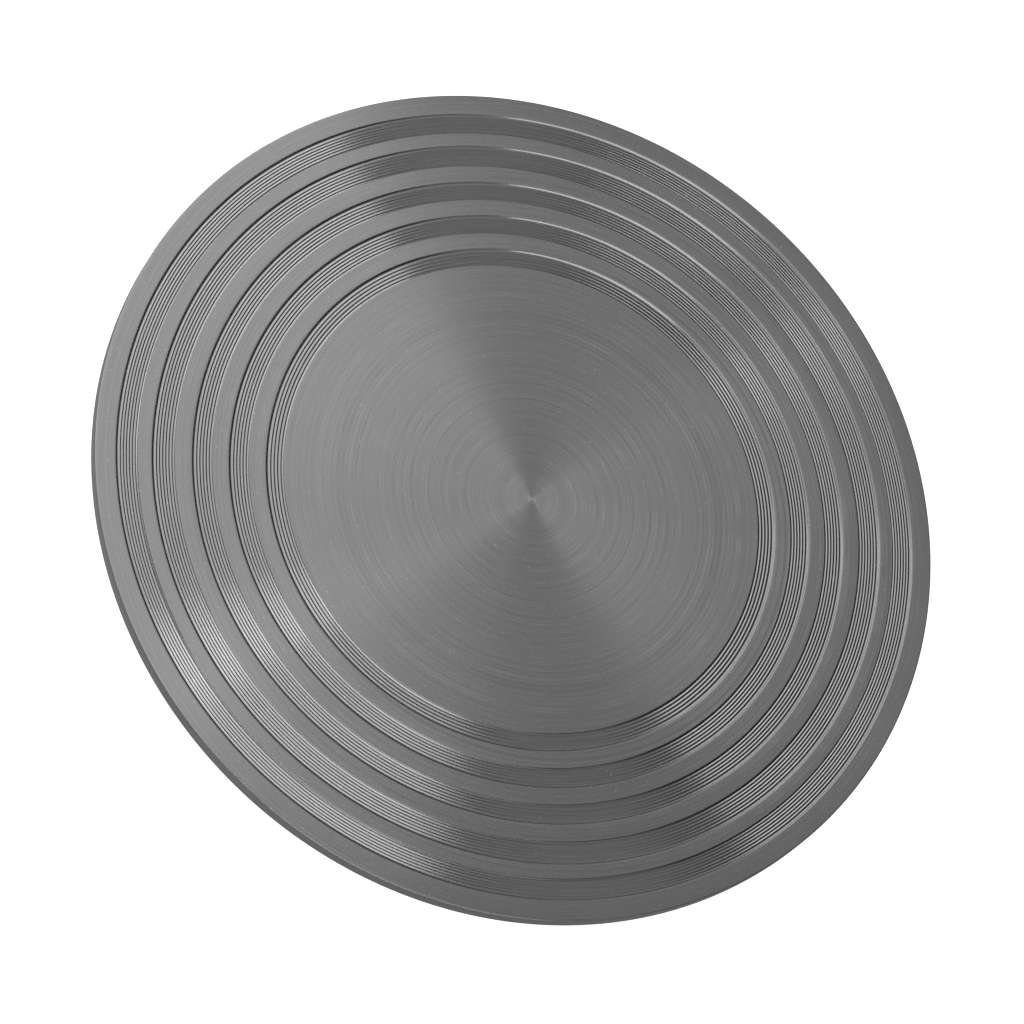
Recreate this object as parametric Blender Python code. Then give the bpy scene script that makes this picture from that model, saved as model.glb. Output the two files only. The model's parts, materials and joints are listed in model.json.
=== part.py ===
"""Table-top banding wheel: a turned aluminium head on a ball-bearing spindle in a cast base.

Z is the spindle's axis, and Z = 0 is the surface that the rubber feet stand on. Four groups
move on their own: the base, which stands still, the wheel, which turns freely on two
deep-groove bearings, and the two ball cages, which follow the wheel at the bearings' own
ratio. Neighbours that touch on the real object keep a gap of 0.3 mm here.
"""

import math

import bmesh
import bpy
from mathutils import Matrix, Vector

MM = 0.001
GAP = 0.3 * MM  # between pieces that touch
EDGE = 0.5 * MM  # the usual broken edge
OVERCUT = 1 * MM  # how far a hole's cutter runs past the face that it opens in

# Head
HEAD_RADIUS = 140 * MM
HEAD_TOP = 92 * MM
HEAD_RIM = 5 * MM
HEAD_CENTRE = 8 * MM
HEAD_BOSS_RADIUS = 62 * MM
HEAD_TAPER = 16 * MM
BAND_DEPTH = 0.6 * MM
BAND_WALL = 0.6 * MM
BANDS = ((79.7, 85.4), (90.9, 97.2), (102.7, 108.9), (114.9, 121.6), (126.9, 133.1))

# Hub under the head
HUB_RADIUS = 60 * MM
HUB_THICKNESS = 6.2 * MM
HUB_COUNTERBORE = 5 * MM
HUB_CEILING = 74 * MM  # inside the skirt
HEAD_SCREW_CIRCLE = 48 * MM
HEAD_SCREW_RADIUS = 2.5 * MM
HEAD_SCREWS = 6
HEAD_HOLE_ROOF = 2.4 * MM  # metal left between a screw hole's end and the work face
BOSS_RADIUS = 17 * MM
SKIRT_INNER = 31 * MM
SKIRT_OUTER = 35.5 * MM
SKIRT_BOTTOM = 60.5 * MM
WASHER_RADIUS = 12.4 * MM
WASHER_THICKNESS = 1.3 * MM

# Bearings: 17 mm bore, 40 mm outside, 12 mm wide, eight balls each
BEARING_BORE = 8.5 * MM
BEARING_RADIUS = 20 * MM
BEARING_WIDTH = 12 * MM
BALL_RADIUS = 3.375 * MM
BALL_CIRCLE = 14.25 * MM
BALLS = 8
GROOVE_RADIUS = 3.7 * MM
INNER_RING_RADIUS = 12 * MM
OUTER_RING_BORE = 16.5 * MM
LOWER_BEARING = 22 * MM  # heights of the bearings' middles
UPPER_BEARING = 56 * MM

# Spindle
JOURNAL_RADIUS = 10 * MM
COLLAR_RADIUS = 12 * MM
COLLAR_BOTTOM = UPPER_BEARING + BEARING_WIDTH / 2 + GAP
COLLAR_TOP = 66 * MM
SPINDLE_TOP = 77.3 * MM
SPINDLE_BOTTOM = 12 * MM
BOLT_RADIUS = 4 * MM
BOLT_HOLE_FLOOR = 57.5 * MM
BOLT_HEAD_RADIUS = 6.5 * MM
CLIP_GROOVE_DEPTH = 0.9 * MM
CLIP_GROOVE_WIDTH = 1.8 * MM
KEY_WIDTH = 4 * MM
KEY_DEPTH = 2 * MM  # of its slot in the spindle
KEY_RISE = 2.5 * MM  # of its slot in the hub
KEY_BOTTOM = 68.3 * MM
KEY_TOP = 75.7 * MM

# Base casting
BASE_RADIUS = 85 * MM
BASE_BOTTOM = 5 * MM
FLANGE_TOP = 13 * MM
HOLLOW_RADIUS = 56 * MM
HOLLOW_CEILING = 12.5 * MM
COLUMN_RADIUS = 28 * MM
COLUMN_TOP = 68 * MM
TUBE_RADIUS = 29.5 * MM
TUBE_BOTTOM = 11 * MM
SHOULDER_RADIUS = 17 * MM
SWEEP_TOP = 46 * MM  # where the column starts to flare
SWEEP_END = 80 * MM  # radius where the flare meets the flange

# Feet and bottom cover
FOOT_RADIUS = 11 * MM
FOOT_SCREW_RADIUS = 2 * MM
FOOT_CIRCLE = 70 * MM
FEET = 4
COVER_RADIUS = 28.5 * MM
COVER_BOTTOM = 8.2 * MM
COVER_SCREW_CIRCLE = 24.5 * MM
COVER_SCREW_RADIUS = 1.5 * MM
COVER_SCREWS = 3

# Facets round a full turn
HEAD_FACETS = 52
BASE_FACETS = 40
HUB_FACETS = 36
SHAFT_FACETS = 24
SMALL_FACETS = 12


def clear_scene():
    for old in list(bpy.data.objects):
        bpy.data.objects.remove(old, do_unlink=True)


def material(name, colour, roughness, metallic):
    made = bpy.data.materials.new(name)
    made.use_nodes = True
    shader = made.node_tree.nodes["Principled BSDF"]
    shader.inputs["Base Color"].default_value = (*colour, 1)
    shader.inputs["Roughness"].default_value = roughness
    shader.inputs["Metallic"].default_value = metallic
    return made


def empty(name):
    """A parent on the spindle's axis for the pieces of one moving group."""
    made = bpy.data.objects.new(name, None)
    bpy.context.collection.objects.link(made)
    return made


def placed(name, mesh, finish, parent, location=(0, 0, 0), turn=0.0):
    if not mesh.materials:
        mesh.materials.append(finish)
    made = bpy.data.objects.new(name, mesh)
    made.location = location
    made.rotation_euler.z = turn
    made.parent = parent
    bpy.context.collection.objects.link(made)
    return made


def finished(shape, name):
    """A bmesh written out as a smooth-shaded mesh with crisp edges."""
    mesh = bpy.data.meshes.new(name)
    shape.to_mesh(mesh)
    shape.free()
    mesh.shade_smooth()
    mesh.set_sharp_from_angle(angle=math.radians(35))
    return mesh


def ring_of(shape, radius, height, facets, six_sided):
    """Vertices round Z. A six-sided ring has the given radius at the middle of its flats."""
    if radius == 0:
        return [shape.verts.new((0, 0, height))]
    ring = []
    for step in range(facets):
        angle = 2 * math.pi * step / facets
        reach = radius
        if six_sided:
            reach = radius / math.cos(angle % (math.pi / 3) - math.pi / 6)
        ring.append(shape.verts.new((reach * math.cos(angle), reach * math.sin(angle), height)))
    return ring


def turned(name, outline, facets, socket=()):
    """A solid turned about Z from (radius, height) points that run down its outer side.

    An outline that starts and ends on the axis is left open there. The points whose places
    in the outline are listed in socket make a hexagon.
    """
    shape = bmesh.new()
    rings = []
    for place, (radius, height) in enumerate(outline):
        rings.append(ring_of(shape, radius, height, facets, place in socket))
    pairs = list(zip(rings, rings[1:] + rings[:1]))
    if outline[0][0] == 0:
        pairs.pop()
    for upper, lower in pairs:
        for i in range(facets):
            j = (i + 1) % facets
            if len(upper) == 1:
                shape.faces.new((upper[0], lower[i], lower[j]))
            elif len(lower) == 1:
                shape.faces.new((upper[i], lower[0], upper[j]))
            else:
                shape.faces.new((upper[i], lower[i], lower[j], upper[j]))
    return finished(shape, name)


def arc(centre_radius, centre_height, radius, start, end, steps):
    """(radius, height) points along an arc, with angles in degrees from the outward direction."""
    points = []
    for step in range(steps + 1):
        angle = math.radians(start + (end - start) * step / steps)
        across = centre_radius + radius * math.cos(angle)
        points.append((across, centre_height + radius * math.sin(angle)))
    return points


def around(count, radius, first_angle=0.0):
    """Angles and XY places of pieces spaced evenly on a circle."""
    for step in range(count):
        angle = first_angle + 2 * math.pi * step / count
        yield angle, Vector((radius * math.cos(angle), radius * math.sin(angle), 0))


def add_rod(shape, radius, facets, start, end):
    """A closed cylinder between two points."""
    along = Vector(end) - Vector(start)
    middle = (Vector(start) + Vector(end)) / 2
    facing = along.to_track_quat("Z", "Y").to_matrix().to_4x4()
    bmesh.ops.create_cone(
        shape,
        cap_ends=True,
        segments=facets,
        radius1=radius,
        radius2=radius,
        depth=along.length,
        matrix=Matrix.Translation(middle) @ facing,
    )


def add_holes(shape, count, circle, radius, low, high, first_angle=0.0):
    """Upright cylinders spaced evenly on a circle, between two heights."""
    for _, place in around(count, circle, first_angle):
        start = place + Vector((0, 0, low))
        end = place + Vector((0, 0, high))
        add_rod(shape, radius, SMALL_FACETS, start, end)


def add_block(shape, low, high):
    """A closed box between two corners."""
    middle = (Vector(low) + Vector(high)) / 2
    size = Vector(high) - Vector(low)
    bmesh.ops.create_cube(
        shape, size=1, matrix=Matrix.Translation(middle) @ Matrix.Diagonal((*size, 1))
    )


def cut(piece, shape):
    """Cuts a piece by the bodies in a bmesh, which stay in the file as a wire guide."""
    mesh = bpy.data.meshes.new(piece.name + "_cutter")
    shape.to_mesh(mesh)
    shape.free()
    guide = bpy.data.objects.new(piece.name + "_cutter", mesh)
    guide.hide_render = True
    guide.display_type = "WIRE"
    guide.parent = piece.parent
    bpy.context.collection.objects.link(guide)
    modifier = piece.modifiers.new("holes", "BOOLEAN")
    modifier.operation = "DIFFERENCE"
    modifier.solver = "EXACT"
    modifier.object = guide


def screw_mesh(name, shank_radius, length, head_radius, head_height, socket_flat):
    """A cap screw pointing up, with its origin where the head meets the shank."""
    socket_depth = 0.55 * head_height
    bottom = -head_height
    outline = [
        (0, length),
        (shank_radius - EDGE, length),
        (shank_radius, length - EDGE),
        (shank_radius, 0),
        (head_radius, 0),
        (head_radius, bottom + EDGE),
        (head_radius - EDGE, bottom),
        (socket_flat / 2, bottom),
        (socket_flat / 2, bottom + socket_depth),
        (0, bottom + socket_depth),
    ]
    return turned(name, outline, SMALL_FACETS, socket=(7, 8))


def clip_mesh(name, rim_radius, free_radius, lug_radius, opening, bottom, top):
    """A retaining ring: a flat C between its rim and free side, with a lug at each end."""
    steps = 22
    lug_angle = math.radians(16)
    low, high = [], []
    shape = bmesh.new()
    for step in range(steps + 1):
        angle = opening / 2 + (2 * math.pi - opening) * step / steps
        from_end = min(angle - opening / 2, 2 * math.pi - opening / 2 - angle)
        free = lug_radius if from_end < lug_angle else free_radius
        inner, outer = sorted((rim_radius, free))
        for row, height in ((low, bottom), (high, top)):
            pair = []
            for radius in (inner, outer):
                place = (radius * math.cos(angle), radius * math.sin(angle), height)
                pair.append(shape.verts.new(place))
            row.append(pair)
    for i in range(steps):
        j = i + 1
        shape.faces.new((high[i][0], high[i][1], high[j][1], high[j][0]))
        shape.faces.new((low[i][1], low[i][0], low[j][0], low[j][1]))
        shape.faces.new((low[i][1], low[j][1], high[j][1], high[i][1]))
        shape.faces.new((low[j][0], low[i][0], high[i][0], high[j][0]))
    shape.faces.new((low[0][0], low[0][1], high[0][1], high[0][0]))
    shape.faces.new((low[-1][1], low[-1][0], high[-1][0], high[-1][1]))
    return finished(shape, name)


def head_outline():
    """The head's section: five sunk bands on top, a thin rim and a thicker middle."""
    bottom = HEAD_TOP - HEAD_RIM
    outline = [(0, HEAD_TOP)]
    for inner, outer in BANDS:
        inner, outer = inner * MM, outer * MM
        floor = HEAD_TOP - BAND_DEPTH
        outline.append((inner, HEAD_TOP))
        outline.append((inner + BAND_WALL, floor))
        outline.append((outer - BAND_WALL, floor))
        outline.append((outer, HEAD_TOP))
    outline.append((HEAD_RADIUS - EDGE, HEAD_TOP))
    outline.append((HEAD_RADIUS, HEAD_TOP - EDGE))
    outline.append((HEAD_RADIUS, bottom + EDGE))
    outline.append((HEAD_RADIUS - EDGE, bottom))
    outline.append((HEAD_BOSS_RADIUS + HEAD_TAPER, bottom))
    outline.append((HEAD_BOSS_RADIUS, HEAD_TOP - HEAD_CENTRE))
    outline.append((0, HEAD_TOP - HEAD_CENTRE))
    return outline


def make_head(wheel):
    """The head, with a blind hole underneath for each screw from the hub."""
    finish = material("satin_dark_aluminium", (0.20, 0.20, 0.20), 0.35, 1.0)
    head = placed("wheel_head", turned("wheel_head", head_outline(), HEAD_FACETS), finish, wheel)
    holes = bmesh.new()
    low, high = HEAD_TOP - HEAD_CENTRE - OVERCUT, HEAD_TOP - HEAD_HOLE_ROOF
    add_holes(holes, HEAD_SCREWS, HEAD_SCREW_CIRCLE, HEAD_SCREW_RADIUS + GAP, low, high)
    cut(head, holes)


def make_hub(wheel):
    """The hub flange: it carries the head, and its skirt keeps slip out of the bearings."""
    finish = material("machined_hub_aluminium", (0.55, 0.55, 0.56), 0.40, 1.0)
    top = HEAD_TOP - HEAD_CENTRE - GAP
    bottom = top - HUB_THICKNESS
    seat = top - HUB_COUNTERBORE
    outline = [
        (HUB_RADIUS - EDGE, top),
        (HUB_RADIUS, top - EDGE),
        (HUB_RADIUS, bottom + EDGE),
        (HUB_RADIUS - EDGE, bottom),
    ]
    outline += arc(SKIRT_OUTER + 3 * MM, bottom - 3 * MM, 3 * MM, 90, 180, 3)
    outline += [
        (SKIRT_OUTER, SKIRT_BOTTOM),
        (SKIRT_INNER, SKIRT_BOTTOM),
        (SKIRT_INNER, HUB_CEILING),
        (BOSS_RADIUS, HUB_CEILING),
        (BOSS_RADIUS, COLLAR_TOP + GAP),
        (JOURNAL_RADIUS + GAP, COLLAR_TOP + GAP),
        (JOURNAL_RADIUS + GAP, seat),
        (WASHER_RADIUS + GAP, seat),
        (WASHER_RADIUS + GAP, top),
    ]
    hub = placed("hub_flange", turned("hub_flange", outline, HUB_FACETS), finish, wheel)
    holes = bmesh.new()
    low, high = bottom - OVERCUT, top + OVERCUT
    add_holes(holes, HEAD_SCREWS, HEAD_SCREW_CIRCLE, HEAD_SCREW_RADIUS + GAP, low, high)
    half = KEY_WIDTH / 2 + GAP
    low = (JOURNAL_RADIUS - OVERCUT, -half, COLLAR_TOP - OVERCUT)
    high = (JOURNAL_RADIUS + KEY_RISE, half, KEY_TOP + GAP)
    add_block(holes, low, high)
    cut(hub, holes)

    steel = material("zinc_plated_screws", (0.60, 0.61, 0.62), 0.35, 1.0)
    mesh = screw_mesh("head_screw", HEAD_SCREW_RADIUS, 11.8 * MM, 4.25 * MM, 4.6 * MM, 4 * MM)
    for step, (angle, place) in enumerate(around(HEAD_SCREWS, HEAD_SCREW_CIRCLE)):
        at = place + Vector((0, 0, bottom - GAP))
        placed(f"head_screw_{step + 1}", mesh, steel, wheel, at, angle)

    washer = [
        (BOLT_RADIUS + 0.4 * MM, seat + GAP + WASHER_THICKNESS),
        (WASHER_RADIUS, seat + GAP + WASHER_THICKNESS),
        (WASHER_RADIUS, seat + GAP),
        (BOLT_RADIUS + 0.4 * MM, seat + GAP),
    ]
    placed("hub_washer", turned("hub_washer", washer, SHAFT_FACETS), steel, wheel)
    head_bottom = seat + 2 * GAP + WASHER_THICKNESS
    head_top = head_bottom + 2.6 * MM
    socket_floor = head_top - 1.4 * MM
    socket_radius = 2.5 * MM
    tip = BOLT_HOLE_FLOOR + 1 * MM
    bolt = [
        (0, socket_floor),
        (socket_radius, socket_floor),
        (socket_radius, head_top),
        (BOLT_HEAD_RADIUS - EDGE, head_top),
        (BOLT_HEAD_RADIUS, head_top - EDGE),
        (BOLT_HEAD_RADIUS, head_bottom),
        (BOLT_RADIUS, head_bottom),
        (BOLT_RADIUS, tip + EDGE),
        (BOLT_RADIUS - EDGE, tip),
        (0, tip),
    ]
    placed("hub_bolt", turned("hub_bolt", bolt, SMALL_FACETS, socket=(1, 2)), steel, wheel)


def make_spindle(wheel):
    """The spindle with its collar, the key to the hub, and the clip under the bearings."""
    finish = material("ground_spindle_steel", (0.58, 0.58, 0.58), 0.25, 1.0)
    groove_top = LOWER_BEARING - BEARING_WIDTH / 2 - 0.1 * MM
    groove_bottom = groove_top - CLIP_GROOVE_WIDTH
    groove_radius = BEARING_BORE - CLIP_GROOVE_DEPTH
    outline = [
        (0, BOLT_HOLE_FLOOR),
        (BOLT_RADIUS + GAP, BOLT_HOLE_FLOOR),
        (BOLT_RADIUS + GAP, SPINDLE_TOP),
        (JOURNAL_RADIUS - EDGE, SPINDLE_TOP),
        (JOURNAL_RADIUS, SPINDLE_TOP - EDGE),
        (JOURNAL_RADIUS, COLLAR_TOP),
        (COLLAR_RADIUS, COLLAR_TOP),
        (COLLAR_RADIUS, COLLAR_BOTTOM),
        (BEARING_BORE, COLLAR_BOTTOM),
        (BEARING_BORE, groove_top),
        (groove_radius, groove_top),
        (groove_radius, groove_bottom),
        (BEARING_BORE, groove_bottom),
        (BEARING_BORE, SPINDLE_BOTTOM + EDGE),
        (BEARING_BORE - EDGE, SPINDLE_BOTTOM),
        (0, SPINDLE_BOTTOM),
    ]
    spindle = placed("spindle", turned("spindle", outline, SHAFT_FACETS), finish, wheel)
    slot = bmesh.new()
    half = KEY_WIDTH / 2 + GAP
    low = (JOURNAL_RADIUS - KEY_DEPTH, -half, KEY_BOTTOM - GAP)
    high = (JOURNAL_RADIUS + OVERCUT, half, KEY_TOP + GAP)
    add_block(slot, low, high)
    cut(spindle, slot)

    key = bmesh.new()
    low = (JOURNAL_RADIUS - KEY_DEPTH + GAP, -KEY_WIDTH / 2, KEY_BOTTOM)
    high = (JOURNAL_RADIUS + KEY_RISE - GAP, KEY_WIDTH / 2, KEY_TOP)
    add_block(key, low, high)
    key_steel = material("key_steel", (0.50, 0.50, 0.51), 0.45, 1.0)
    key_mesh = bpy.data.meshes.new("spindle_key")
    key.to_mesh(key_mesh)
    key.free()
    placed("spindle_key", key_mesh, key_steel, wheel)

    spring = material("spring_steel", (0.16, 0.16, 0.17), 0.45, 1.0)
    clip = clip_mesh(
        "spindle_clip",
        rim_radius=groove_radius + GAP,
        free_radius=BEARING_BORE + 1.6 * MM,
        lug_radius=BEARING_BORE + 3.2 * MM,
        opening=math.radians(40),
        bottom=groove_bottom + GAP,
        top=groove_top - GAP,
    )
    placed("spindle_clip", clip, spring, wheel)
    lower = LOWER_BEARING + BEARING_WIDTH / 2 + GAP
    upper = UPPER_BEARING - BEARING_WIDTH / 2 - GAP
    sleeve = [
        (BEARING_BORE + GAP, upper),
        (INNER_RING_RADIUS - EDGE, upper),
        (INNER_RING_RADIUS - EDGE, lower),
        (BEARING_BORE + GAP, lower),
    ]
    sleeve_steel = material("spacer_steel", (0.52, 0.52, 0.53), 0.40, 1.0)
    mesh = turned("bearing_spacer", sleeve, SHAFT_FACETS)
    placed("bearing_spacer", mesh, sleeve_steel, wheel)


def make_bearing(side, middle, base, wheel, cage_axis, looks):
    """One deep-groove ball bearing: rings, shields, cage and balls."""
    half = BEARING_WIDTH / 2
    spread = math.degrees(math.acos((BALL_CIRCLE - INNER_RING_RADIUS) / GROOVE_RADIUS))
    inner = [(BEARING_BORE + GAP, middle + half), (INNER_RING_RADIUS, middle + half)]
    inner += arc(BALL_CIRCLE, middle, GROOVE_RADIUS, 180 - spread, 180 + spread, 4)
    inner += [(INNER_RING_RADIUS, middle - half), (BEARING_BORE + GAP, middle - half)]
    name = f"{side}_bearing_inner_ring"
    placed(name, turned(name, inner, SHAFT_FACETS), looks["ring"], wheel)

    spread = math.degrees(math.acos((OUTER_RING_BORE - BALL_CIRCLE) / GROOVE_RADIUS))
    outer = [
        (OUTER_RING_BORE, middle + half),
        (BEARING_RADIUS - EDGE, middle + half),
        (BEARING_RADIUS, middle + half - EDGE),
        (BEARING_RADIUS, middle - half + EDGE),
        (BEARING_RADIUS - EDGE, middle - half),
        (OUTER_RING_BORE, middle - half),
    ]
    outer += arc(BALL_CIRCLE, middle, GROOVE_RADIUS, -spread, spread, 4)
    name = f"{side}_bearing_outer_ring"
    placed(name, turned(name, outer, SHAFT_FACETS), looks["ring"], base)

    shield_thickness = 0.4 * MM
    for face, level in (("top", middle + 5.4 * MM), ("bottom", middle - 5.0 * MM)):
        shield = [
            (INNER_RING_RADIUS + 0.5 * MM, level),
            (OUTER_RING_BORE - GAP, level),
            (OUTER_RING_BORE - GAP, level - shield_thickness),
            (INNER_RING_RADIUS + 0.5 * MM, level - shield_thickness),
        ]
        name = f"{side}_bearing_{face}_shield"
        placed(name, turned(name, shield, SHAFT_FACETS), looks["shield"], base)

    rail = 4.4 * MM
    section = [
        (INNER_RING_RADIUS + 0.6 * MM, middle + rail),
        (OUTER_RING_BORE - 0.6 * MM, middle + rail),
        (OUTER_RING_BORE - 0.6 * MM, middle - rail),
        (INNER_RING_RADIUS + 0.6 * MM, middle - rail),
    ]
    name = f"{side}_bearing_cage"
    cage = placed(name, turned(name, section, SHAFT_FACETS), looks["cage"], cage_axis)
    pockets = bmesh.new()
    lift = Vector((0, 0, middle))
    for _, place in around(BALLS, BALL_CIRCLE):
        start = place * 0.75 + lift
        end = place * 1.25 + lift
        add_rod(pockets, BALL_RADIUS + 0.4 * MM, SMALL_FACETS, start, end)
    cut(cage, pockets)

    shape = bmesh.new()
    bmesh.ops.create_icosphere(shape, subdivisions=2, radius=BALL_RADIUS)
    ball = finished(shape, "bearing_ball")
    for step, (angle, place) in enumerate(around(BALLS, BALL_CIRCLE)):
        name = f"{side}_bearing_ball_{step + 1}"
        placed(name, ball, looks["ball"], cage_axis, place + lift, angle)


def base_outline():
    """The base's section: bore and seats inside, a flared column and a heavy flange outside."""
    seat = BEARING_RADIUS + GAP
    clip_groove = BEARING_RADIUS + 1.7 * MM
    groove_bottom = UPPER_BEARING + BEARING_WIDTH / 2 + 0.1 * MM
    groove_top = groove_bottom + 2 * MM
    upper_ledge = UPPER_BEARING - BEARING_WIDTH / 2 - GAP
    lower_ledge = LOWER_BEARING + BEARING_WIDTH / 2 + GAP
    reach = SWEEP_END - COLUMN_RADIUS
    drop = SWEEP_TOP - FLANGE_TOP - 1 * MM
    outline = [(COLUMN_RADIUS - 1 * MM, COLUMN_TOP), (COLUMN_RADIUS, COLUMN_TOP - 1 * MM)]
    steps = 8
    for step in range(steps + 1):
        angle = math.pi / 2 * step / steps
        radius = SWEEP_END - reach * math.cos(angle)
        outline.append((radius, SWEEP_TOP - drop * math.sin(angle)))
    outline += [
        (BASE_RADIUS - 1.5 * MM, FLANGE_TOP),
        (BASE_RADIUS, FLANGE_TOP - 1.5 * MM),
        (BASE_RADIUS, BASE_BOTTOM + EDGE),
        (BASE_RADIUS - EDGE, BASE_BOTTOM),
        (HOLLOW_RADIUS, BASE_BOTTOM),
        (HOLLOW_RADIUS - 0.8 * MM, HOLLOW_CEILING - 1.5 * MM),
        (HOLLOW_RADIUS - 2.3 * MM, HOLLOW_CEILING),
        (TUBE_RADIUS + 0.8 * MM, HOLLOW_CEILING),
        (TUBE_RADIUS, HOLLOW_CEILING - 0.8 * MM),
        (TUBE_RADIUS, TUBE_BOTTOM),
        (seat, TUBE_BOTTOM),
        (seat, lower_ledge),
        (SHOULDER_RADIUS, lower_ledge),
        (SHOULDER_RADIUS, upper_ledge),
        (seat, upper_ledge),
        (seat, groove_bottom),
        (clip_groove, groove_bottom),
        (clip_groove, groove_top),
        (seat, groove_top),
        (seat, COLUMN_TOP),
    ]
    return outline


def make_base(base):
    """The casting, its retaining ring, the bottom cover and the cover's screws."""
    enamel = material("hammered_grey_enamel", (0.10, 0.105, 0.11), 0.45, 0.0)
    body = turned("base_casting", base_outline(), BASE_FACETS)
    casting = placed("base_casting", body, enamel, base)
    holes = bmesh.new()
    low, high = TUBE_BOTTOM - OVERCUT, TUBE_BOTTOM + 9 * MM
    add_holes(holes, COVER_SCREWS, COVER_SCREW_CIRCLE, COVER_SCREW_RADIUS + GAP, low, high)
    low, high = BASE_BOTTOM - OVERCUT, FLANGE_TOP - 1.4 * MM
    add_holes(holes, FEET, FOOT_CIRCLE, FOOT_SCREW_RADIUS + GAP, low, high, math.pi / FEET)
    cut(casting, holes)

    spring = material("housing_clip_steel", (0.16, 0.16, 0.17), 0.45, 1.0)
    clip_bottom = UPPER_BEARING + BEARING_WIDTH / 2 + 0.4 * MM
    clip = clip_mesh(
        "housing_clip",
        rim_radius=BEARING_RADIUS + 1.4 * MM,
        free_radius=BEARING_RADIUS - 1.4 * MM,
        lug_radius=BEARING_RADIUS - 3.4 * MM,
        opening=math.radians(24),
        bottom=clip_bottom,
        top=clip_bottom + 1.4 * MM,
    )
    placed("housing_clip", clip, spring, base)

    cover_top = TUBE_BOTTOM - GAP
    spigot_top = LOWER_BEARING - BEARING_WIDTH / 2 - GAP
    outline = [
        (0, cover_top),
        (SHOULDER_RADIUS + 0.6 * MM, cover_top),
        (SHOULDER_RADIUS + 0.6 * MM, spigot_top),
        (BEARING_RADIUS - 0.1 * MM, spigot_top),
        (BEARING_RADIUS - 0.1 * MM, cover_top),
        (COVER_RADIUS, cover_top),
        (COVER_RADIUS, COVER_BOTTOM + EDGE),
        (COVER_RADIUS - EDGE, COVER_BOTTOM),
        (0, COVER_BOTTOM),
    ]
    plate = material("bottom_cover_steel", (0.45, 0.45, 0.46), 0.45, 1.0)
    cover = placed("bottom_cover", turned("bottom_cover", outline, HUB_FACETS), plate, base)
    holes = bmesh.new()
    low, high = COVER_BOTTOM - OVERCUT, cover_top + OVERCUT
    add_holes(holes, COVER_SCREWS, COVER_SCREW_CIRCLE, COVER_SCREW_RADIUS + GAP, low, high)
    cut(cover, holes)
    steel = material("cover_screw_steel", (0.60, 0.61, 0.62), 0.35, 1.0)
    mesh = screw_mesh("cover_screw", COVER_SCREW_RADIUS, 11 * MM, 2.75 * MM, 2 * MM, 2.5 * MM)
    for step, (angle, place) in enumerate(around(COVER_SCREWS, COVER_SCREW_CIRCLE)):
        at = place + Vector((0, 0, COVER_BOTTOM - GAP))
        placed(f"cover_screw_{step + 1}", mesh, steel, base, at, angle)


def make_feet(base):
    """Rubber feet, each held by a screw whose head is sunk in the rubber."""
    rubber = material("black_rubber", (0.02, 0.02, 0.02), 0.8, 0.0)
    top = BASE_BOTTOM - GAP
    ledge = 2.6 * MM
    hole = FOOT_SCREW_RADIUS + GAP
    head_room = 4.6 * MM
    outline = [
        (hole, top),
        (FOOT_RADIUS - EDGE, top),
        (FOOT_RADIUS, top - EDGE),
        (FOOT_RADIUS - 0.5 * MM, EDGE),
        (FOOT_RADIUS - 1 * MM, 0),
        (head_room, 0),
        (head_room, ledge),
        (hole, ledge),
    ]
    foot = turned("rubber_foot", outline, SHAFT_FACETS)
    steel = material("foot_screw_steel", (0.60, 0.61, 0.62), 0.35, 1.0)
    mesh = screw_mesh("foot_screw", FOOT_SCREW_RADIUS, 8.8 * MM, 4 * MM, 1.7 * MM, 2.5 * MM)
    for step, (angle, place) in enumerate(around(FEET, FOOT_CIRCLE, math.pi / FEET)):
        placed(f"rubber_foot_{step + 1}", foot, rubber, base, place, angle)
        at = place + Vector((0, 0, ledge - GAP))
        placed(f"foot_screw_{step + 1}", mesh, steel, base, at, angle)


def main():
    clear_scene()
    base = empty("base_frame")
    wheel = empty("wheel_axis")
    upper_cage = empty("upper_cage_axis")
    lower_cage = empty("lower_cage_axis")
    looks = {
        "ring": material("bearing_ring_steel", (0.62, 0.62, 0.63), 0.18, 1.0),
        "shield": material("bearing_shield_steel", (0.50, 0.50, 0.51), 0.35, 1.0),
        "cage": material("cage_nylon", (0.03, 0.03, 0.03), 0.6, 0.0),
        "ball": material("ball_steel", (0.75, 0.75, 0.76), 0.08, 1.0),
    }
    make_head(wheel)
    make_hub(wheel)
    make_spindle(wheel)
    make_bearing("upper", UPPER_BEARING, base, wheel, upper_cage, looks)
    make_bearing("lower", LOWER_BEARING, base, wheel, lower_cage, looks)
    make_base(base)
    make_feet(base)


main()
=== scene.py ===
import json
import math

import bmesh
import bpy
from mathutils import Matrix, Vector


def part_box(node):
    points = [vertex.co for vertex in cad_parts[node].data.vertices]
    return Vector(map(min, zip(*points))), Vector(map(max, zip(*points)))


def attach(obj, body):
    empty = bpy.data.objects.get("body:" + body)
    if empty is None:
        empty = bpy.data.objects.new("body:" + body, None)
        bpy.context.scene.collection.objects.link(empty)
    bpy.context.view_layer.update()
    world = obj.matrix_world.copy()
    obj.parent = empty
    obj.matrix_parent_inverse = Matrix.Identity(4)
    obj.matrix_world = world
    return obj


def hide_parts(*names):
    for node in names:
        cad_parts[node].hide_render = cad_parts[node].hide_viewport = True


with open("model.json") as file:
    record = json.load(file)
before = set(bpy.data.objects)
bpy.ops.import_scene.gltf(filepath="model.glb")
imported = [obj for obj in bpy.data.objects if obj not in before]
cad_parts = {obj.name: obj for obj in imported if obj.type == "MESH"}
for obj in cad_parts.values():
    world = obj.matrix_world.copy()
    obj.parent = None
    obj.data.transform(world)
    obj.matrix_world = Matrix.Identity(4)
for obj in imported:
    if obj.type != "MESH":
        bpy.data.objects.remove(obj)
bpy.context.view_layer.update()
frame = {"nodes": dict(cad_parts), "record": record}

# All sizes are in metres. Places come from the CAD nodes' boxes.
MM = 0.001
TURN = 2 * math.pi

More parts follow.
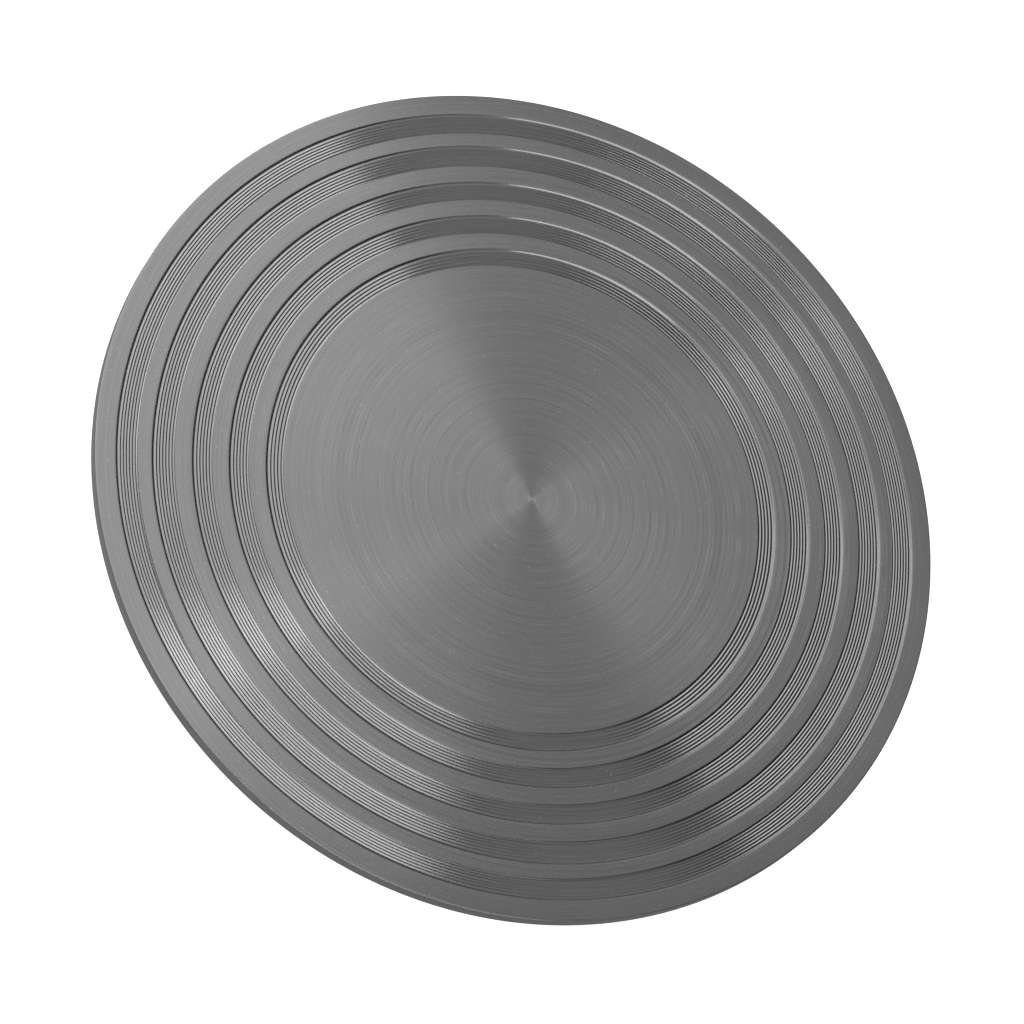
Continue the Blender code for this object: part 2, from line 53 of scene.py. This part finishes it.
HEAD_LOW, HEAD_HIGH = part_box("wheel_head")
HUB_LOW, HUB_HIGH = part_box("hub_flange")
BASE_LOW, BASE_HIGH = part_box("base_casting")
COVER_LOW, COVER_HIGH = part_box("bottom_cover")

# The head's five sunk bands: where each starts, its first and last valleys, and its ridges,
# in millimetres from the axis
BANDS = (
    (79.4, 80.1, 84.55, 4),
    (90.7, 91.4, 96.45, 5),
    (102.55, 103.25, 108.3, 5),
    (114.5, 115.2, 121.15, 6),
    (126.35, 126.9, 132.6, 6),
)
# Sections of a band's two walls, in millimetres, as (distance out, depth): the inner from the
# band's start, the outer from its last valley
INNER_WALL = ((0, 0), (0.10, 0.04), (0.24, 0.36), (0.40, 0.44))
OUTER_WALL = ((0.15, 0.52), (0.40, 0.42), (0.70, 0.10), (0.85, 0.03), (1.10, 0))
# Plain land that keeps the shading flat on each side of a band, in millimetres: before its
# start, and out from its last valley
LAND_BEFORE = 0.2
LAND_AFTER = 1.5
VALLEY_DEPTH = 0.53 * MM
RIDGE_HEIGHT = 0.16 * MM
# One ridge's section, as (share of its width, share of its height)
RIDGE_SECTION = ((0, 0), (0.13, 0.23), (0.29, 0.80), (0.42, 1), (0.59, 0.79), (0.82, 0.23))
RIM_THICKNESS = 5 * MM
RIM_EDGE = 0.25 * MM
# Screws, by the start of their node's name: the piece's name, its body, its sizes in
# millimetres (shank's radius, head's radius and height, socket's width) and its knurl's teeth
SCREWS = {
    "head_screw": ("cap_screw", "wheel", (2.5, 4.25, 4.6, 4), 30),
    "cover_screw": ("cover_fixing", "base", (1.5, 2.75, 2, 2.5), 0),
    "foot_screw": ("foot_fixing", "base", (2, 4, 1.7, 2.5), 0),
}
# How far the turned marks' middle lies from the head's axis
SWIRL = (2.5 * MM, 0.6 * MM, 0)

CAMERA_DISTANCE = 1.463
CAMERA_ELEVATION = math.radians(60.74)
CAMERA_ROLL = math.radians(42.47)
CAMERA_LENS = 163
SENSOR_WIDTH = 36
AIM_OFFSET = Vector((0.59 * MM, -7.74 * MM, 0))

# Softboxes: name, azimuth from +X, elevation, distance from the head, width, height, radiance
SOFTBOXES = (
    ("left_high_softbox", 162, 62, 1.1, 1.27, 0.93, 0.92),
    ("left_low_softbox", 162, 33, 2.2, 2.5, 0.9, 1.75),
    ("camera_softbox", -90, 69, 1.0, 0.72, 0.5, 1.9),
    ("front_softbox", -58, 22, 2.2, 2.3, 1.2, 2.0),
)
ROOM_BRIGHTNESS = 0.43
# The room is dark towards this direction. The two cosines are where it starts to darken and
# where it is fully dark.
DARK_SIDE = Vector((0.643, 0.766, 0))
DARK_SIDE_COSINES = (0.42, 0.63)
DARK_SIDE_BRIGHTNESS = 0.03
# The floor runs this far each way, so that low views see little past it
FLOOR_REACH = 60
FLOOR_GLOW = 1.0


# ---------------------------------------------------------------- meshes


def finished(shape, name, corner=32):
    """A bmesh as a linked object, smooth except at corners sharper than the given degrees."""
    bmesh.ops.recalc_face_normals(shape, faces=shape.faces)
    mesh = bpy.data.meshes.new(name)
    shape.to_mesh(mesh)
    shape.free()
    mesh.shade_smooth()
    mesh.set_sharp_from_angle(angle=math.radians(corner))
    made = bpy.data.objects.new(name, mesh)
    bpy.context.scene.collection.objects.link(made)
    return made


def softened(outline, radius, steps=3):
    """The outline with each corner that is off the axis rounded to about the given radius."""
    longest_share = 0.45
    closed = outline[0][0] > 0
    points = [Vector(p) for p in outline]
    rounded = []
    for i, here in enumerate(points):
        ends = not closed and i in (0, len(points) - 1)
        before, after = points[i - 1], points[(i + 1) % len(points)]
        if ends or here.x == 0:
            rounded.append(here)
            continue
        back, ahead = before - here, after - here
        reach = min(radius, longest_share * back.length, longest_share * ahead.length)
        start = here + back.normalized() * reach
        end = here + ahead.normalized() * reach
        for step in range(steps + 1):
            t = step / steps
            rounded.append(start * (1 - t) ** 2 + here * 2 * t * (1 - t) + end * t * t)
    return [tuple(p) for p in rounded]


def arc(centre, radius, start, end, steps):
    """(radius, height) points on an arc, with angles in degrees from the outward direction."""
    points = []
    for step in range(steps + 1):
        angle = math.radians(start + (end - start) * step / steps)
        points.append((centre[0] + radius * math.cos(angle), centre[1] + radius * math.sin(angle)))
    return points


def turned(name, outline, facets, corner=32, shape_of=None):
    """A solid turned about Z from (radius, height) points that run down its outer side.

    shape_of(place, angle) gives a factor on the radius of that outline point at that angle.
    """
    shape = bmesh.new()
    rings = []
    for place, (radius, height) in enumerate(outline):
        if radius == 0:
            rings.append([shape.verts.new((0, 0, height))])
            continue
        ring = []
        for step in range(facets):
            angle = TURN * step / facets
            reach = radius * shape_of(place, angle) if shape_of else radius
            at = (reach * math.cos(angle), reach * math.sin(angle), height)
            ring.append(shape.verts.new(at))
        rings.append(ring)
    pairs = list(zip(rings, rings[1:] + rings[:1]))
    if outline[0][0] == 0:
        pairs.pop()
    for upper, lower in pairs:
        for i in range(facets):
            j = (i + 1) % facets
            if len(upper) == 1:
                shape.faces.new((upper[0], lower[i], lower[j]))
            elif len(lower) == 1:
                shape.faces.new((upper[i], lower[0], upper[j]))
            else:
                shape.faces.new((upper[i], lower[i], lower[j], upper[j]))
    return finished(shape, name, corner)


def stands_for(piece, node, body, finish):
    piece.data.materials.clear()
    piece.data.materials.append(finish)
    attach(piece, body)
    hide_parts(node)


# ---------------------------------------------------------------- materials


def add_node(tree, kind, inputs, **settings):
    """A new node, with each input given a plain value or linked to another node's output."""
    made = tree.nodes.new(kind)
    for key, value in settings.items():
        setattr(made, key, value)
    for socket, value in inputs.items():
        if isinstance(value, bpy.types.NodeSocket):
            tree.links.new(value, made.inputs[socket])
        else:
            made.inputs[socket].default_value = value
    return made


class Finish:
    """One material, with short calls for the shader nodes that it is built from.

    Its plain colour and roughness stay on the sockets for programs that don't read nodes.
    """

    def __init__(self, name, colour, roughness, metallic=0.0, **sockets):
        self.material = bpy.data.materials.new(name)
        self.material.use_nodes = True
        self.tree = self.material.node_tree
        self.shader = self.tree.nodes["Principled BSDF"]
        self.set("Base Color", (*colour, 1))
        self.set("Roughness", roughness)
        self.set("Metallic", metallic)
        for socket, value in sockets.items():
            self.set(socket.replace("_", " ").title(), value)
        self.place = self.node("ShaderNodeTexCoord", {}).outputs["Object"]

    def node(self, kind, inputs, **settings):
        return add_node(self.tree, kind, inputs, **settings)

    def set(self, socket, value):
        """Gives a shader socket a plain value, or links a node's output to it."""
        if isinstance(value, bpy.types.NodeSocket):
            self.tree.links.new(value, self.shader.inputs[socket])
        else:
            self.shader.inputs[socket].default_value = value

    def sum(self, operation, *values):
        """A Math node's result."""
        return self.node("ShaderNodeMath", dict(enumerate(values)), operation=operation).outputs[0]

    def move(self, operation, *values):
        """A Vector Math node's result."""
        made = self.node("ShaderNodeVectorMath", dict(enumerate(values)), operation=operation)
        return made.outputs["Value" if operation == "LENGTH" else "Vector"]

    def height(self):
        return self.node("ShaderNodeSeparateXYZ", {0: self.place}).outputs[2]

    def join(self, x, y, z):
        return self.node("ShaderNodeCombineXYZ", {0: x, 1: y, 2: z}).outputs[0]

    def noise(self, vector, scale, detail=3.0, roughness=0.5):
        inputs = {"Vector": vector, "Scale": scale, "Detail": detail, "Roughness": roughness}
        return self.node("ShaderNodeTexNoise", inputs).outputs["Fac"]

    def span(self, value, low, high, to_low, to_high):
        """A value's range from low to high, mapped to another range and held at its ends."""
        inputs = {0: value, 1: low, 2: high, 3: to_low, 4: to_high}
        return self.node("ShaderNodeMapRange", inputs).outputs[0]

    def blend(self, share, first, second):
        """A mix of two colours."""
        inputs = {0: share, 6: (*first, 1), 7: (*second, 1)}
        return self.node("ShaderNodeMix", inputs, data_type="RGBA").outputs[2]

    def bump(self, height, distance, strength=1.0, onto=None):
        inputs = {"Height": height, "Distance": distance, "Strength": strength}
        if onto is not None:
            inputs["Normal"] = onto
        return self.node("ShaderNodeBump", inputs).outputs["Normal"]

    def outward(self, offset):
        """The level vector to here from the piece's own Z axis, or from one beside it."""
        return self.move("MULTIPLY", self.move("SUBTRACT", self.place, offset), (1, 1, 0))

    def rings(self, offset, wander):
        """A vector that varies across turned marks and hardly along them."""
        radius = self.move("LENGTH", self.outward(offset))
        drift = self.noise(self.place, scale=30, detail=2)
        radius = self.sum("ADD", radius, self.sum("MULTIPLY", drift, wander))
        return self.join(radius, self.height(), 0.0)


def grey(level):
    return (level, level, level)


def head_metal():
    """Face-turned dark aluminium: light spreads across the tool marks, which run round."""
    made = Finish("turned_dark_aluminium", grey(0.30), 0.26, 1.0, anisotropic=0.92)
    rings = made.rings(SWIRL, 0.15 * MM)
    fine = made.noise(rings, scale=2600, detail=2, roughness=0.6)
    coarse = made.noise(rings, scale=1300, detail=4, roughness=0.65)

    # Arcs: coarse marks that come and go round the head
    patch = made.span(made.noise(made.place, scale=110, detail=3), 0.35, 0.65, 0.2, 2.0)
    arcs = made.sum("MULTIPLY_ADD", made.sum("SUBTRACT", coarse, 0.5), patch, 0.5)

    # Colour: both marks and a faint stain, and lighter on specks; lighter in the bands as painted
    # light against their shade, and at the middle as a painted highlight
    stain = made.noise(made.place, scale=14, detail=4, roughness=0.6)
    light = made.sum("MULTIPLY_ADD", fine, 0.3, made.sum("MULTIPLY", arcs, 0.45))
    light = made.sum("MULTIPLY_ADD", stain, 0.25, light)
    share = made.span(light, 0.37, 0.63, 0.0, 0.7)
    top = HEAD_HIGH.z
    # Painted light: the sunk bands get a lighter colour that offsets the shade between their
    # ridges; the same mask also makes them a little less rough
    sunk = made.span(made.height(), top - 0.35 * MM, top - 0.1 * MM, 1.0, 0.0)
    outward = made.outward(SWIRL)
    # Painted highlight: a lighter spot round the middle of the turned marks, where their
    # highlights meet
    middle = made.span(made.move("LENGTH", outward), 0.4 * MM, 0.8 * MM, 0.6, 0.0)
    speck = made.span(made.noise(made.place, scale=900, detail=0), 0.80, 0.82, 0.0, 1.0)
    for extra in (made.sum("MULTIPLY", sunk, 0.1), middle, speck):
        share = made.sum("ADD", share, extra)
    made.set("Base Color", made.blend(share, grey(0.25), grey(0.375)))

    dull = made.span(light, 0.3, 0.7, 0.22, 0.30)
    made.set("Roughness", made.sum("MULTIPLY_ADD", sunk, -0.05, dull))
    facing = made.node(
        "ShaderNodeVectorTransform",
        {0: made.move("NORMALIZE", outward)},
        vector_type="VECTOR",
        convert_from="OBJECT",
        convert_to="WORLD",
    )
    made.set("Tangent", facing.outputs[0])
    marks = made.bump(arcs, 0.010 * MM)
    made.set("Normal", made.bump(fine, 0.004 * MM, onto=marks))
    return made.material


def machined(name, level, roughness=0.32):
    """Bright turned metal with plain concentric tool marks."""
    made = Finish(name, grey(level), roughness, 1.0)
    fine = made.noise(made.rings((0, 0, 0), 0.1 * MM), scale=1500, detail=2, roughness=0.6)
    smudge = made.noise(made.place, scale=45, detail=4, roughness=0.6)
    made.set("Base Color", made.blend(smudge, grey(level * 0.85), grey(level * 1.1)))
    made.set("Roughness", made.span(smudge, 0.3, 0.7, roughness - 0.06, roughness + 0.10))
    made.set("Normal", made.bump(fine, 0.02 * MM))
    return made.material


def polished(name, level, roughness):
    """Ground or plated steel with a faint uneven shine."""
    made = Finish(name, grey(level), roughness, 1.0)
    smudge = made.noise(made.place, scale=160, detail=4, roughness=0.6)
    made.set("Base Color", made.blend(smudge, grey(level * 0.9), grey(level * 1.05)))
    made.set("Roughness", made.span(smudge, 0.3, 0.7, roughness * 0.8, roughness * 1.5))
    grain = made.noise(made.place, scale=2500, detail=2)
    made.set("Normal", made.bump(grain, 0.004 * MM))
    return made.material


def hammered_enamel():
    """Dark grey hammered paint, whose dimples are soft cells, with patches of dust."""
    made = Finish(
        "hammered_enamel",
        (0.09, 0.095, 0.1),
        0.32,
        0.35,
        coat_weight=0.5,
        coat_roughness=0.15,
    )
    drift = made.noise(made.place, scale=120, detail=2)
    shift = made.join(made.sum("MULTIPLY", drift, 2 * MM), 0.0, 0.0)
    warped = made.move("ADD", made.place, shift)
    inputs = {"Vector": warped, "Scale": 330.0, "Smoothness": 0.7}
    cells = made.node("ShaderNodeTexVoronoi", inputs, feature="SMOOTH_F1")
    hammer = cells.outputs["Distance"]
    dust = made.noise(made.place, scale=35, detail=5, roughness=0.65)
    share = made.span(hammer, 0.1, 0.6, 0.0, 1.0)
    made.set("Base Color", made.blend(share, (0.075, 0.08, 0.085), (0.13, 0.135, 0.14)))
    made.set("Roughness", made.span(dust, 0.3, 0.7, 0.25, 0.45))
    made.set("Normal", made.bump(hammer, 0.12 * MM, 0.8))
    return made.material


def moulded_rubber():
    made = Finish("moulded_rubber", (0.018, 0.018, 0.019), 0.75)
    grain = made.noise(made.place, scale=1800, detail=4, roughness=0.7)
    dust = made.noise(made.place, scale=90, detail=4, roughness=0.7)
    share = made.span(dust, 0.45, 0.75, 0.0, 1.0)
    made.set("Base Color", made.blend(share, (0.016, 0.016, 0.017), (0.06, 0.058, 0.055)))
    made.set("Roughness", made.span(dust, 0.3, 0.7, 0.65, 0.9))
    made.set("Normal", made.bump(grain, 0.05 * MM))
    return made.material


def filled_nylon():
    made = Finish("glass_filled_nylon", (0.025, 0.025, 0.027), 0.5)
    grain = made.noise(made.place, scale=1200, detail=3, roughness=0.6)
    share = made.span(grain, 0.3, 0.7, 0.0, 1.0)
    made.set("Base Color", made.blend(share, (0.02, 0.02, 0.022), (0.045, 0.045, 0.047)))
    made.set("Roughness", made.span(grain, 0.3, 0.7, 0.4, 0.6))
    made.set("Normal", made.bump(grain, 0.03 * MM))
    return made.material


# ---------------------------------------------------------------- pieces


def band_outline(start, first, last, ridges):
    """One sunk band's section: its inner wall, its ridges and its outer wall."""
    top = HEAD_HIGH.z
    valley = top - VALLEY_DEPTH
    outline = [((start - LAND_BEFORE) * MM, top)]
    for out, depth in INNER_WALL:
        outline.append(((start + out) * MM, top - depth * MM))
    pitch = (last - first) / ridges
    for ridge in range(ridges):
        for along, rise in RIDGE_SECTION:
            height = valley + rise * RIDGE_HEIGHT
            outline.append(((first + (ridge + along) * pitch) * MM, height))
    outline.append((last * MM, valley))
    for out, depth in OUTER_WALL:
        outline.append(((last + out) * MM, top - depth * MM))
    outline.append(((last + LAND_AFTER) * MM, top))
    return outline


def head_outline():
    """The head's section, from the middle of its work face round to the middle below."""
    top, bottom, rim = HEAD_HIGH.z, HEAD_LOW.z, HEAD_HIGH.x
    rim_bottom = top - RIM_THICKNESS
    taper_start, boss_radius, boss_edge = 78 * MM, 61.5 * MM, (1 * MM, 0.1 * MM)
    middle_rings = 4
    outline = [(0, top)]
    for step in range(1, middle_rings):
        outline.append((BANDS[0][0] * MM * step / middle_rings, top))
    for band in BANDS:
        outline += band_outline(*band)
    outline.append((rim - 2 * RIM_EDGE, top))
    outline += arc((rim - RIM_EDGE, top - RIM_EDGE), RIM_EDGE, 90, 0, 4)
    outline += arc((rim - RIM_EDGE, rim_bottom + RIM_EDGE), RIM_EDGE, 0, -90, 3)
    outline.append((rim - 0.7 * MM, rim_bottom))
    outline.append((taper_start, rim_bottom))
    outline.append((boss_radius + boss_edge[0], bottom + boss_edge[1]))
    outline.append((boss_radius, bottom))
    outline.append((0, bottom))
    return outline


def make_head(finish):
    head = turned("turned_head", head_outline(), facets=384, corner=18)
    stands_for(head, "wheel_head", "wheel", finish)


def make_hub(finish):
    """The flange under the head, with a skirt round the column, bored for the spindle's end."""
    top, skirt_bottom, radius = HUB_HIGH.z, HUB_LOW.z, HUB_HIGH.x
    flange = top - 6.2 * MM
    fillet = 3 * MM
    skirt, skirt_bore, skirt_roof = 35.5 * MM, 31 * MM, 74 * MM
    boss, boss_bottom = 17 * MM, 66.3 * MM
    bore, counterbore, seat = 10.3 * MM, 12.7 * MM, top - 5 * MM
    outline = [
        (radius, top),
        (radius, flange),
        (skirt + fillet, flange),
        (skirt, flange - fillet),
        (skirt, skirt_bottom),
        (skirt_bore, skirt_bottom),
        (skirt_bore, skirt_roof),
        (boss, skirt_roof),
        (boss, boss_bottom),
        (bore, boss_bottom),
        (bore, seat),
        (counterbore, seat),
        (counterbore, top),
    ]
    hub = turned("hub_flange_turned", softened(outline, radius=0.7 * MM), facets=160)
    stands_for(hub, "hub_flange", "wheel", finish)


def make_screw(kind, number, finish):
    """A cap screw pointing up, with a hexagon socket and, if it has teeth, a knurled head."""
    name, body, sizes, teeth = SCREWS[kind]
    shank, head, seat, socket = (size * MM for size in sizes)
    node = f"{kind}_{number}"
    low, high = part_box(node)
    at = (low + high) / 2
    height = high.z - low.z
    point, chamfer, lip, drill_point = 0.5 * MM, 0.3 * MM, 0.2 * MM, 0.3 * MM
    depth = 0.6 * seat
    knurl_depth = 0.035
    outline = [
        (0, height),
        (shank - point, height),
        (shank, height - point),
        (shank, seat),
        (head, seat),
        (head, seat - chamfer),
        (head, chamfer),
        (head - chamfer, 0),
        (socket / 2 + lip, 0),
        (socket / 2, lip),
        (socket / 2, depth),
        (0, depth + drill_point),
    ]
    knurled, hexagonal = (5, 6), (9, 10)

    def shape_of(place, angle):
        if place in hexagonal:
            return 1 / math.cos(angle % (TURN / 6) - TURN / 12)
        if teeth and place in knurled:
            return 1 - knurl_depth * abs(math.sin(angle * teeth / 2))
        return 1

    made = turned(f"{name}_{number}", outline, facets=96, corner=28, shape_of=shape_of)
    made.location = (at.x, at.y, low.z)
    made.rotation_euler.z = math.atan2(at.y, at.x)
    stands_for(made, node, body, finish)


def make_base(finish):
    """The casting: a column that sweeps out to a round foot, bored for both bearings."""
    top, bottom, radius = BASE_HIGH.z, BASE_LOW.z, BASE_HIGH.x
    column, chamfer = 28 * MM, 1 * MM
    sweep_end, sweep_top, sweep_bottom, sweep_steps = 80 * MM, 46 * MM, 14 * MM, 36
    shoulder, foot_edge, foot_height = 1.8 * MM, 1 * MM, 6.2 * MM
    recess_outer, recess_inner, recess_roof = 56 * MM, 29.5 * MM, 12.5 * MM
    flare, corner, slope = 0.4 * MM, 0.8 * MM, 1.5 * MM
    cover_seat = 11 * MM
    seat, web, groove = 20.3 * MM, 17 * MM, 21.7 * MM
    lower_seat_top, upper_seat_bottom = 28.3 * MM, 49.7 * MM
    groove_bottom, groove_top = 62.1 * MM, 64.1 * MM
    outline = [(column - chamfer, top), (column, top - chamfer)]
    for step in range(sweep_steps + 1):
        angle = math.pi / 2 * step / sweep_steps
        across = sweep_end - (sweep_end - column) * math.cos(angle)
        outline.append((across, sweep_top - (sweep_top - sweep_bottom) * math.sin(angle)))
    outline += arc((radius - shoulder, bottom + foot_height), shoulder, 80, 0, 6)
    outline += arc((radius - foot_edge, bottom + foot_edge), foot_edge, 0, -90, 4)
    outline += [
        (recess_outer + flare, bottom),
        (recess_outer, bottom + flare),
        (recess_outer - corner, cover_seat),
        (recess_outer - corner - slope, recess_roof),
        (recess_inner + corner, recess_roof),
        (recess_inner, recess_roof - corner),
        (recess_inner, cover_seat),
        (seat, cover_seat),
        (seat, lower_seat_top),
        (web, lower_seat_top),
        (web, upper_seat_bottom),
        (seat, upper_seat_bottom),
        (seat, groove_bottom),
        (groove, groove_bottom),
        (groove, groove_top),
        (seat, groove_top),
        (seat, top),
    ]
    base = turned("cast_base", outline, facets=192, corner=40)
    stands_for(base, "base_casting", "base", finish)


def make_cover(finish):
    """The bottom plate, with a ring on top that holds the lower bearing in."""
    low, high, radius = COVER_LOW.z, COVER_HIGH.z, COVER_HIGH.x
    plate_top = 10.7 * MM
    ring_inner, ring_outer = 17.6 * MM, 19.9 * MM
    dish, dish_depth = 19 * MM, 0.5 * MM
    outline = [
        (0, plate_top),
        (ring_inner, plate_top),
        (ring_inner, high),
        (ring_outer, high),
        (ring_outer, plate_top),
        (radius, plate_top),
        (radius, low),
        (dish, low),
        (dish - 1 * MM, low + dish_depth),
        (0, low + dish_depth),
    ]
    cover = turned("cover_plate", softened(outline, radius=0.35 * MM), facets=128)
    stands_for(cover, "bottom_cover", "base", finish)


def make_foot(number, finish):
    """A rubber foot with two grip grooves round a recess for its screw's head."""
    node = f"rubber_foot_{number}"
    low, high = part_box(node)
    at = (low + high) / 2
    top, radius = high.z, (high.x - low.x) / 2
    hole, recess, recess_roof = 2.3 * MM, 4.6 * MM, 2.6 * MM
    groove = 0.4 * MM
    outline = [
        (hole, top),
        (radius, top),
        (radius - 0.2 * MM, 1.2 * MM),
        (radius - 1 * MM, 0.1 * MM),
        (radius - 1.6 * MM, 0),
    ]
    for groove_middle in (7.8 * MM, 5.9 * MM):
        for out, height in ((0.5, 0), (0.2, groove), (-0.2, groove), (-0.5, 0)):
            outline.append((groove_middle + out * MM, height))
    outline += [(recess, 0), (recess, recess_roof), (hole, recess_roof)]
    foot = turned(f"foot_pad_{number}", softened(outline, radius=0.3 * MM, steps=2), facets=96)
    foot.location = (at.x, at.y, 0)
    stands_for(foot, node, "base", finish)


def finish_nodes(finishes):
    """Gives every CAD node its slot's finish. Those sealed inside keep their CAD shapes."""
    for part in frame["record"]["subparts"]:
        node = frame["nodes"][part["node"]]
        node.data.materials.clear()
        node.data.materials.append(finishes[part["material_slot"]])


# ---------------------------------------------------------------- stage


def make_floor():
    """A pale floor, with a glow that only the camera sees, so that it looks evenly white."""
    shape = bmesh.new()
    bmesh.ops.create_grid(shape, x_segments=1, y_segments=1, size=FLOOR_REACH)
    floor = finished(shape, "floor")
    made = Finish("white_acrylic", grey(0.45), 0.6)
    seen = made.node("ShaderNodeLightPath", {}).outputs["Is Camera Ray"]
    made.set("Emission Color", (1, 1, 1, 1))
    made.set("Emission Strength", made.sum("MULTIPLY", seen, FLOOR_GLOW))
    floor.data.materials.append(made.material)


def make_light(name, azimuth, elevation, distance, width, height, radiance):
    """A softbox that faces the head's middle."""
    azimuth, elevation = math.radians(azimuth), math.radians(elevation)
    across = distance * math.cos(elevation)
    rise = distance * math.sin(elevation)
    place = Vector((across * math.cos(azimuth), across * math.sin(azimuth), rise))
    lamp = bpy.data.lights.new(name, "AREA")
    lamp.shape = "RECTANGLE"
    lamp.size, lamp.size_y = width, height
    lamp.energy = radiance * width * height * math.pi
    made = bpy.data.objects.new(name, lamp)
    made.location = place + Vector((0, 0, HEAD_HIGH.z))
    made.rotation_euler = (-place).to_track_quat("-Z", "Y").to_euler()
    bpy.context.scene.collection.objects.link(made)


def make_studio():
    """Softboxes in a plain room that is dark on the far side of the head, to its right."""
    world = bpy.data.worlds.new("studio")
    bpy.context.scene.world = world
    world.use_nodes = True
    tree = world.node_tree
    direction = add_node(tree, "ShaderNodeTexCoord", {}).outputs["Generated"]
    inputs = {0: direction, 1: DARK_SIDE}
    toward = add_node(tree, "ShaderNodeVectorMath", inputs, operation="DOT_PRODUCT")
    inputs = {
        0: toward.outputs["Value"],
        1: DARK_SIDE_COSINES[0],
        2: DARK_SIDE_COSINES[1],
        3: ROOM_BRIGHTNESS,
        4: DARK_SIDE_BRIGHTNESS,
    }
    level = add_node(tree, "ShaderNodeMapRange", inputs, interpolation_type="SMOOTHSTEP")
    room = add_node(tree, "ShaderNodeBackground", {"Strength": level.outputs[0]})
    tree.links.new(room.outputs[0], tree.nodes["World Output"].inputs["Surface"])
    for softbox in SOFTBOXES:
        make_light(*softbox)
    bpy.context.scene.view_settings.view_transform = "Standard"


def make_camera():
    """The camera, aimed beside the head's middle and rolled to the viewing angle."""
    aim = Vector((0, 0, HEAD_HIGH.z)) + AIM_OFFSET
    ahead = Vector((0, math.cos(CAMERA_ELEVATION), -math.sin(CAMERA_ELEVATION)))
    lens = bpy.data.cameras.new("camera")
    lens.lens = CAMERA_LENS
    lens.sensor_width = SENSOR_WIDTH
    lens.clip_start = 0.05
    camera = bpy.data.objects.new("camera", lens)
    camera.location = aim - ahead * CAMERA_DISTANCE
    level = ahead.to_track_quat("-Z", "Y")
    camera.rotation_mode = "QUATERNION"
    camera.rotation_quaternion = Matrix.Rotation(-CAMERA_ROLL, 3, ahead).to_quaternion() @ level
    bpy.context.scene.collection.objects.link(camera)
    bpy.context.scene.camera = camera


def main():
    make_camera()
    finishes = {
        "head_aluminium": head_metal(),
        "hub_aluminium": machined("hub_aluminium_turned", 0.62),
        "base_enamel": hammered_enamel(),
        "cover_steel": machined("zinc_plate_sheet", 0.5, 0.38),
        "ground_steel": polished("ground_steel_bright", 0.58, 0.22),
        "spring_steel": polished("phosphated_spring_steel", 0.12, 0.45),
        "zinc_steel": polished("bright_zinc_plate", 0.62, 0.30),
        "foot_rubber": moulded_rubber(),
        "ball_steel": polished("ball_bearing_steel", 0.78, 0.06),
        "cage_nylon": filled_nylon(),
        "shield_steel": polished("pressed_shield_steel", 0.5, 0.32),
        "bearing_steel": polished("ground_ring_steel", 0.64, 0.16),
    }
    finish_nodes(finishes)
    make_head(finishes["head_aluminium"])
    make_hub(finishes["hub_aluminium"])
    make_base(finishes["base_enamel"])
    make_cover(finishes["cover_steel"])
    zinc = finishes["zinc_steel"]
    for number in range(1, 7):
        make_screw("head_screw", number, zinc)
    for number in range(1, 4):
        make_screw("cover_screw", number, zinc)
    for number in range(1, 5):
        make_foot(number, finishes["foot_rubber"])
        make_screw("foot_screw", number, zinc)
    make_floor()
    make_studio()


main()
